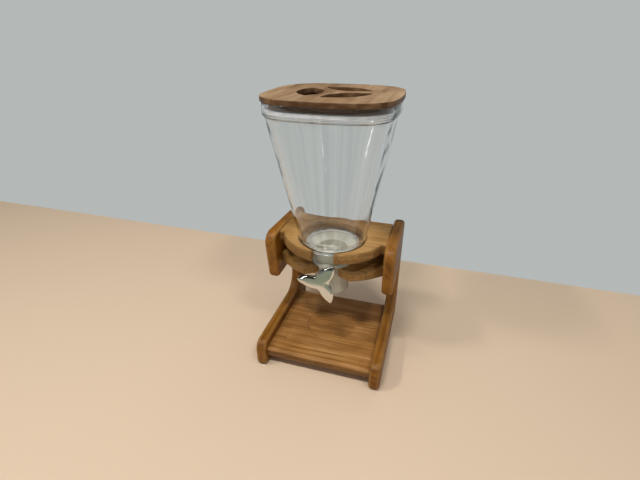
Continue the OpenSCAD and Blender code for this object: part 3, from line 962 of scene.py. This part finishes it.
# knob: three pointed lobes whose face falls away gently, then steeply, to the edge
knobLook = {
    "radius": 45.0, "waist": 17.0, "thick": 9.0, "face": -87.0, "height": 205.0, "spokes": 240,
    "tipTurn": 56.0, "swirl": 16.0, "tipSoft": 0.06,
    "softWidth": 11.0, "softDeep": 0.45, "steepWidth": 4.2, "steepDeep": 1.75, "steepBend": 1.3,
    "rows": 6, "leastShare": 0.02, "faceSteps": (9.0, 7.0, 5.5, 4.6, 4.2, 3.8, 3.0, 2.0, 1.0, 0.3),
    "rimLip": 0.15, "backRound": [(0.0, -1.0), (0.3, -0.3), (1.0, 0.0)],
    "hub": 11.0, "hubEnd": -49.0, "shaft": 5.1,
    "hubFlare": [(-1.8, -0.5), (-0.6, 0.5), (0.0, 2.0)],
    "hubRound": [(0.0, -1.2), (0.4, -0.35), (1.2, 0.0)],
}


def lobePoint(look, turn, less=0.0):
    # the outline's point at a turn in degrees, moved into the knob by less
    def softly(s):
        return math.sqrt(s * s + look["tipSoft"] ** 2) - look["tipSoft"]
    swing = math.radians(1.5 * turn)
    drop = look["radius"] - look["waist"]
    reach = look["radius"] - drop * softly(math.sin(swing)) / softly(1)
    slant = 1.5 * drop * math.cos(swing) / reach
    spin = math.radians(look["tipTurn"] + turn + look["swirl"] * (1 - reach / look["radius"]))
    return Vector((math.cos(spin), math.sin(spin))) * (reach - less * math.hypot(1, slant))


def faceDepth(look, less):
    # how far the face lies behind its middle at a spot less mm inside the outline
    soft = look["softDeep"] * max(0.0, 1 - less / look["softWidth"]) ** 2
    steep = look["steepDeep"] * max(0.0, 1 - less / look["steepWidth"]) ** look["steepBend"]
    return soft + steep


def makeKnob(look):
    turns = [360 * k / look["spokes"] for k in range(look["spokes"])]
    edge = [lobePoint(look, t) for t in turns]
    face = look["face"]
    back = face + look["thick"]
    rings = []
    for k in range(look["rows"]):
        share = max(look["leastShare"], k / look["rows"])
        rings.append(([lobePoint(look, t, look["softWidth"]) * share for t in turns], face))
    for less in (look["softWidth"],) + look["faceSteps"]:
        rings.append(([lobePoint(look, t, less) for t in turns], face + faceDepth(look, less)))
    rings.append((edge, face + faceDepth(look, 0.0) + look["rimLip"]))
    for less, rise in look["backRound"]:
        rings.append((inset(edge, [less] * len(edge)), back + rise))
    shape = Shape()
    numbers = shape.loft([[(p.x, y, look["height"] + p.y) for p in ring] for ring, y in rings])
    shape.cap(numbers[0][::-1])
    shape.cap(numbers[-1])
    addPiece("knobFace", shape.mesh("knobFace", sharpAngle=24.0), "knobChrome", "knob_chrome",
             "wheel", "knob")

    hub = Shape()
    r = look["hub"]
    end = look["hubEnd"]
    profile = [(r - less, back + rise) for less, rise in look["hubFlare"]]
    profile += [(r - less, end + rise) for less, rise in look["hubRound"]] + [(look["shaft"], end)]
    numbers = hub.loft([[(p.x, y, look["height"] + p.y) for p in circle(reach)] for reach, y in profile])
    hub.cap(numbers[0])
    hub.cap(numbers[-1])
    addPiece("knobHub", hub.mesh("knobHub"), "knobChrome", "knob_chrome", "wheel", "knob")


makeKnob(knobLook)
print("knob made")


# CAD nodes whose shape is right keep it and get a finish
kept = {
    "metering_housing": "housingClear", "neck_seal": "neckRubber", "front_bush": "bushPlastic",
    "rear_bush": "bushPlastic", "drive_shaft": "shaftSteel", "wheel_hub": "hubPlastic",
    "wheel_paddles": "paddleRubber", "hub_pin": "screwSteel", "knob_set_screw": "grubSteel",
    "retaining_clip": "screwSteel", "lid_screws": "screwSteel", "base_dowels": "dowelWood",
    "shelf_dowels": "dowelWood", "rail_dowels": "dowelWood",
}
for node, finishName in kept.items():
    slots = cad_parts[node].data.materials
    slots.clear()
    slots.append(finishes[finishName])
print("kept nodes finished")


# floor, lights and world
studio = {
    "floorSize": 6.0, "floorColour": tint(217, 192, 163), "floorRoughness": 0.6,
    "wallColour": tint(180, 185, 184), "farFrom": 0.372, "farTo": 0.378,
    "nearColour": tint(142, 147, 124), "nearFrom": -0.380, "nearTo": -0.368,
    "roomColour": tint(112, 112, 108), "roomFrom": -1.0, "roomTo": -0.7,
    "skyLow": tint(116, 117, 118), "skyHigh": tint(170, 172, 174), "skyStrength": 1.0,
    "frontFrom": -0.4, "frontTo": 0.0,
    "ceilingColour": tint(52, 52, 48), "ceilingFrom": 0.06, "ceilingTo": 0.16,
}
lamps = {
    "keyLeft": {"place": (-1.3, -0.88, 2.05), "aim": (-0.1, 0.0, 0.26),
                "size": (0.36, 0.09), "power": 15.5},
    "keyMiddle": {"place": (-0.15, -0.88, 2.05), "aim": (-0.1, 0.0, 0.26),
                  "size": (0.36, 0.09), "power": 16.0},
    "keyRight": {"place": (0.9, -0.88, 2.05), "aim": (0.1, 0.0, 0.26),
                 "size": (0.36, 0.09), "power": 11.0},
    "backLamp": {"place": (0.5, 1.6, 1.5), "aim": (0.0, 0.0, 0.3),
                 "size": (0.9, 0.9), "power": 3.0},
    "leftStrip": {"place": (-1.25, -1.6, 0.76), "aim": (0.0, 0.0, 0.4),
                  "size": (0.14, 0.36), "power": 1.8},
    "leftStripHigh": {"place": (-1.25, -1.6, 1.30), "aim": (0.0, 0.0, 0.4),
                      "size": (0.12, 0.16), "power": 0.7},
    "rightStrip": {"place": (0.75, -2.15, 0.64), "aim": (0.0, 0.0, 0.4),
                   "size": (0.10, 0.22), "power": 1.0},
    "rightStripHigh": {"place": (0.75, -2.15, 0.86), "aim": (0.0, 0.0, 0.4),
                       "size": (0.08, 0.07), "power": 0.3},
}


def makeFloor(look):
    half = look["floorSize"] / 2
    mesh = bpy.data.meshes.new("floor")
    mesh.from_pydata([(-half, -half, 0), (half, -half, 0), (half, half, 0), (-half, half, 0)], [],
                     [(0, 1, 2, 3)])
    floor = bpy.data.objects.new("floor", mesh)
    bpy.context.scene.collection.objects.link(floor)
    paint = Finish("floorPaint")
    x, y, z = paint.places()
    paint.set(Base_Color=look["floorColour"], Roughness=look["floorRoughness"])
    wall = paint.add("ShaderNodeEmission", None, {0: look["wallColour"]})
    near = paint.add("ShaderNodeEmission", None, {0: look["nearColour"]})
    far = y.ease(look["farFrom"], look["farTo"]) * paint.seen()
    close = (1.0 - y.ease(look["nearFrom"], look["nearTo"])) * paint.mirrored()
    beyond = (1.0 - y.ease(look["roomFrom"], look["roomTo"])) * paint.mirrored()
    room = paint.add("ShaderNodeEmission", None, {0: look["roomColour"]})
    front = paint.mixShaders(close, paint.mixShaders(far, paint.surface, wall), near)
    paint.show(paint.mixShaders(beyond, front, room))
    mesh.materials.append(paint.material)


def makeLamp(name, look):
    data = bpy.data.lights.new(name, "AREA")
    data.shape = "RECTANGLE"
    data.size, data.size_y = look["size"]
    data.energy = look["power"]
    lamp = bpy.data.objects.new(name, data)
    lamp.location = look["place"]
    lamp.rotation_euler = (Vector(look["aim"]) - Vector(look["place"])).to_track_quat("-Z", "Y").to_euler()
    bpy.context.scene.collection.objects.link(lamp)


def makeWorld(look):
    world = bpy.data.worlds.new("studioWorld")
    bpy.context.scene.world = world
    world.use_nodes = True
    sky = Nodes(world.node_tree)
    x, y, z = sky.places(0)
    above = z.ease(look["ceilingFrom"], look["ceilingTo"]) * sky.mirrored()
    ahead = (1.0 - y.ease(look["frontFrom"], look["frontTo"])) * sky.mirrored()
    room = sky.blend(ahead, look["wallColour"], look["roomColour"])
    room = sky.blend(above, room, look["ceilingColour"])
    colour = sky.ramp(z, [(0.0, look["skyLow"]), (1.0, look["skyHigh"])])
    light = sky.add("ShaderNodeBackground", None, {0: colour, 1: look["skyStrength"]})
    wall = sky.add("ShaderNodeBackground", None, {0: room, 1: 1.0})
    sky.feed(sky.nodes["World Output"].inputs["Surface"], sky.mixShaders(sky.seen(), light, wall))


makeFloor(studio)
for lampName, lampLook in lamps.items():
    makeLamp(lampName, lampLook)
makeWorld(studio)
bpy.context.scene.view_settings.view_transform = "Standard"
print("studio made")
